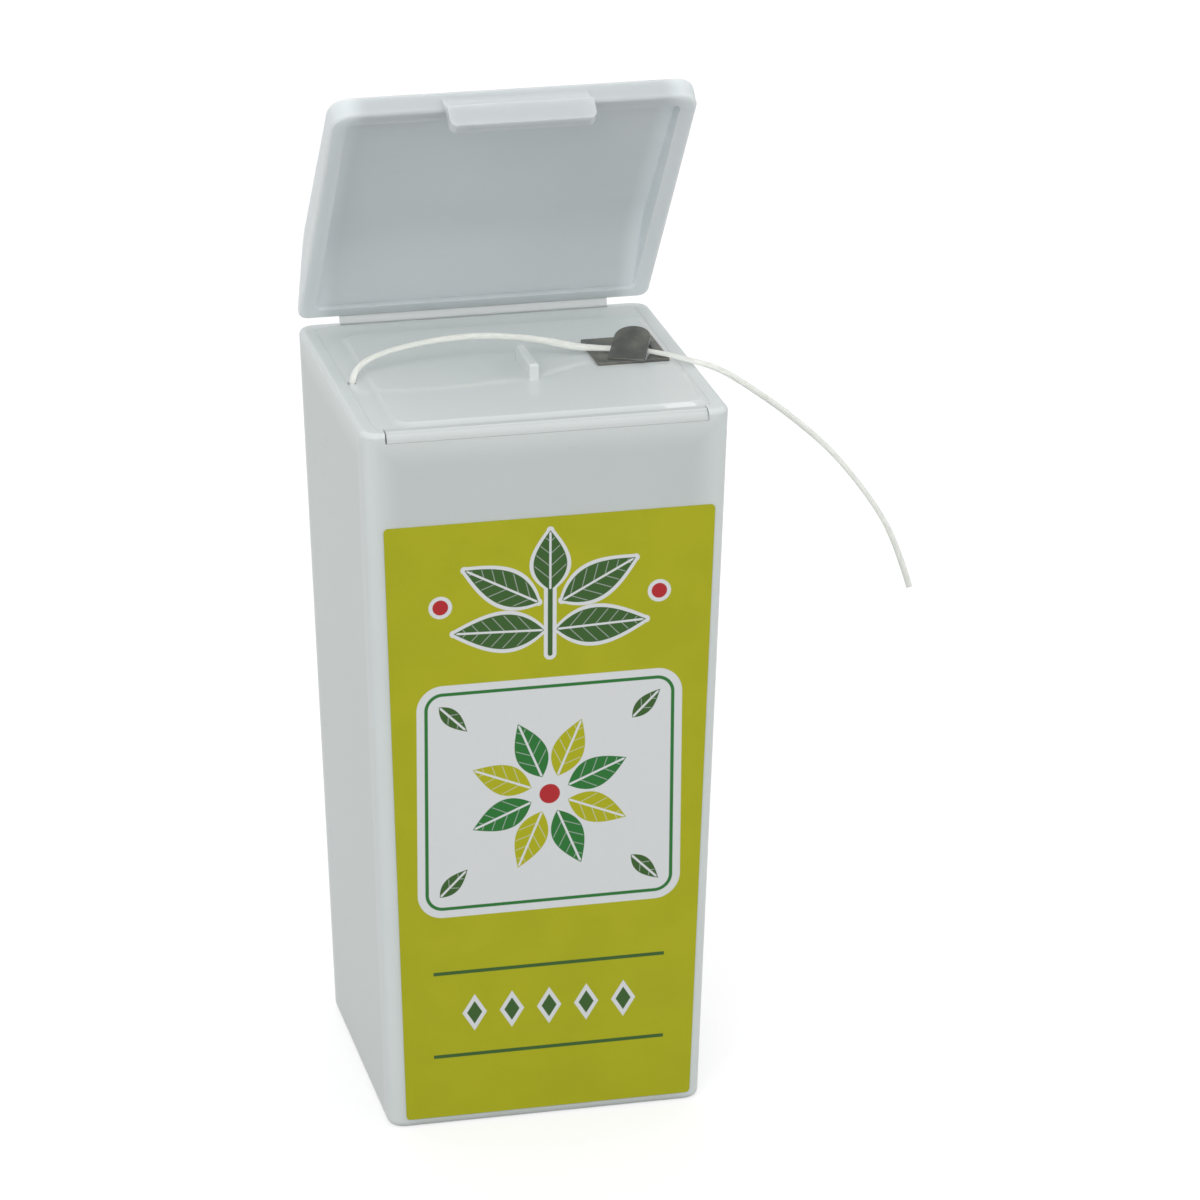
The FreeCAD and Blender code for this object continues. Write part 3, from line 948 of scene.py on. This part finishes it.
midrib = ramp(leaf, across, 0.17, 0.09)
branch = minus(leaf, along, times(leaf, across, branch_slope))
branch = calc(leaf, "FRACT", calc(leaf, "DIVIDE", branch, branch_pitch))
branch = ramp(leaf, size_of(leaf, minus(leaf, branch, 0.5)), 0.07, 0.03)
vein = most(leaf, midrib, times(leaf, branch, branch_strength))
vein = times(leaf, vein, ramp(leaf, outline, -0.05, -0.2))
leaf.links.new(vein, gives["Vein"])
print("group", leaf.name, "has", len(leaf.nodes), "nodes")

# %% Label tools
LIME = (0.40, 0.405, 0.006)
LIME_SHADE = (0.375, 0.385, 0.005)
LEAF_GREEN = (0.017, 0.156, 0.026)
DEEP_GREEN = (0.035, 0.10, 0.018)
BERRY = (0.42, 0.018, 0.022)
FILM_WHITE = (0.68, 0.70, 0.71)
ink_edge = 0.05

label_film, tree, shader = new_material("label_film")
label_low, label_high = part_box("front_label")
label_middle = (label_low.x + label_high.x) / 2 / MM
spot = in_millimetres(tree)
print_x = minus(tree, spot["X"], label_middle)
print_z = spot["Z"]


def draw(group, **values):
    """One motif on the label, with its place and sizes in millimetres."""
    node = tree.nodes.new("ShaderNodeGroup")
    node.node_tree = group
    tree.links.new(print_x, node.inputs["X"])
    tree.links.new(print_z, node.inputs["Z"])
    for label, value in values.items():
        node.inputs[label.replace("_", " ")].default_value = value
    return node.outputs


def draw_panel(x, z, half_wide, half_high, corner):
    out = draw(
        panel, Middle_X=x, Middle_Z=z, Half_Width=half_wide, Half_Height=half_high, Corner=corner
    )
    return out["Distance"]


def draw_leaves(places):
    """Several leaves drawn as one: the least distance and the strongest vein."""
    distance = vein = None
    for x, z, turn, length, width in places:
        turn = math.radians(turn)
        out = draw(leaf, Middle_X=x, Middle_Z=z, Turn=turn, Length=length, Width=width)
        distance = out["Distance"] if distance is None else least(tree, distance, out["Distance"])
        vein = out["Vein"] if vein is None else most(tree, vein, out["Vein"])
    return distance, vein


def ink(distance, grow=0.0):
    """A mask of all that lies inside a motif, grown by so many millimetres."""
    return ramp(tree, distance, grow + ink_edge, grow - ink_edge)


def print_leaves(below, distance, vein, colour):
    """Leaves in one ink over what is below, with white veins."""
    inside = ink(distance)
    below = mixed(tree, below, colour, inside)
    return mixed(tree, below, FILM_WHITE, times(tree, inside, vein))


# %% White panel
panel_z = 41.0
panel_half_width = 15.4
panel_half_height = 14.4
panel_corner = 3.0
frame_inset = 1.1
frame_half = 0.2

tone = ramp(tree, noise(tree, placed(tree), 160, 3.0), 0.35, 0.7)
film = mixed(tree, LIME, LIME_SHADE, tone)
white = draw_panel(0, panel_z, panel_half_width, panel_half_height, panel_corner)
film = mixed(tree, film, FILM_WHITE, ink(white))
frame_line = size_of(tree, plus(tree, white, frame_inset))
film = mixed(tree, film, LEAF_GREEN, ink(frame_line, frame_half))

# %% Rosette in the panel
rosette_leaves = 8
rosette_reach = 6.0
rosette_leaf = (7.4, 3.6)
heart_radius = 1.2
corner_leaf = (4.6, 1.9)
corner_x = 11.2
corner_rise = 10.2

rosette_places = []
for k in range(rosette_leaves):
    angle = 360 / rosette_leaves * (k + 0.5)
    x = rosette_reach * math.cos(math.radians(angle))
    z = panel_z + rosette_reach * math.sin(math.radians(angle))
    rosette_places.append((x, z, angle, *rosette_leaf))
film = print_leaves(film, *draw_leaves(rosette_places[1::2]), LIME)
film = print_leaves(film, *draw_leaves(rosette_places[0::2]), LEAF_GREEN)
heart = draw_panel(0, panel_z, heart_radius, heart_radius, heart_radius)
film = mixed(tree, film, BERRY, ink(heart))
corner_places = [
    (corner_x * i, panel_z + corner_rise * j, 45.0 * i * j, *corner_leaf)
    for i in (-1, 1)
    for j in (-1, 1)
]
film = print_leaves(film, *draw_leaves(corner_places), DEEP_GREEN)
print("panel has", len(rosette_places), "leaves in its rosette")

# %% Sprig at the top
stem_half = (0.28, 4.2)
stem_z = 62.2
sprig_places = [
    (0, 69.6, 90, 7.2, 3.8),
    (5.6, 66.9, 28, 9.6, 3.9),
    (-5.6, 66.9, 152, 9.6, 3.9),
    (5.9, 61.4, 2, 10.4, 4.1),
    (-5.9, 61.4, 178, 10.4, 4.1),
]
berry_x = 12.6
berry_z = 64.9
berry_radius = 0.9
white_margin = 0.45

stem = draw_panel(0, stem_z, *stem_half, stem_half[0])
sprig, sprig_vein = draw_leaves(sprig_places)
sprig = least(tree, sprig, stem)
right_berry = draw_panel(berry_x, berry_z, berry_radius, berry_radius, berry_radius)
left_berry = draw_panel(-berry_x, berry_z, berry_radius, berry_radius, berry_radius)
berries = least(tree, right_berry, left_berry)
film = mixed(tree, film, FILM_WHITE, ink(least(tree, sprig, berries), white_margin))
film = print_leaves(film, sprig, sprig_vein, DEEP_GREEN)
film = mixed(tree, film, BERRY, ink(berries))
print("sprig has", len(sprig_places), "leaves")

# %% Lozenges at the foot
lozenge_pitch = 4.4
lozenge_z = 14.2
lozenge_slope = 0.62
lozenge_half = 1.45
lozenge_border = 0.55
row_half_width = 11.0
row_half_height = 4.0
row_corner = 0.1
rule_rise = 5.3
rule_half_width = 13.4
rule_half = 0.22
# A whole number of pitches keeps the sum above zero, and the half puts a lozenge in the middle.
row_shift = 100.5 * lozenge_pitch

step = calc(tree, "DIVIDE", plus(tree, print_x, row_shift), lozenge_pitch)
step = size_of(tree, minus(tree, calc(tree, "FRACT", step), 0.5))
step = times(tree, step, lozenge_pitch)
rise = size_of(tree, minus(tree, print_z, lozenge_z))
lozenge = minus(tree, plus(tree, step, times(tree, rise, lozenge_slope)), lozenge_half)
row = draw_panel(0, lozenge_z, row_half_width, row_half_height, row_corner)
lozenge = most(tree, lozenge, row)
film = mixed(tree, film, FILM_WHITE, ink(lozenge))
film = mixed(tree, film, DEEP_GREEN, ink(plus(tree, lozenge, lozenge_border)))
rule = size_of(tree, minus(tree, rise, rule_rise))
rule = most(tree, rule, minus(tree, size_of(tree, print_x), rule_half_width))
film = mixed(tree, film, DEEP_GREEN, ink(rule, rule_half))
print("lozenges stand every", lozenge_pitch, "mm")

# %% Label film
FIBRE_SHADE = (0.93, 0.93, 0.93)
fibre_scale = 3200
fibre_share = 0.5
gloss_scale = 240

fibre = noise(tree, placed(tree), fibre_scale, 2.0)
film = mixed(tree, film, FIBRE_SHADE, times(tree, fibre, fibre_share), "MULTIPLY")
tree.links.new(film, shader.inputs["Base Color"])
film_gloss = plus(tree, times(tree, noise(tree, placed(tree), gloss_scale, 3.0), 0.22), 0.28)
tree.links.new(film_gloss, shader.inputs["Roughness"])
relief(tree, shader, fibre, 0.2, 0.01 * MM)
shader.inputs["Specular IOR Level"].default_value = 0.3
dress(nodes["front_label"], label_film)
print("label print has", len(tree.nodes), "nodes")
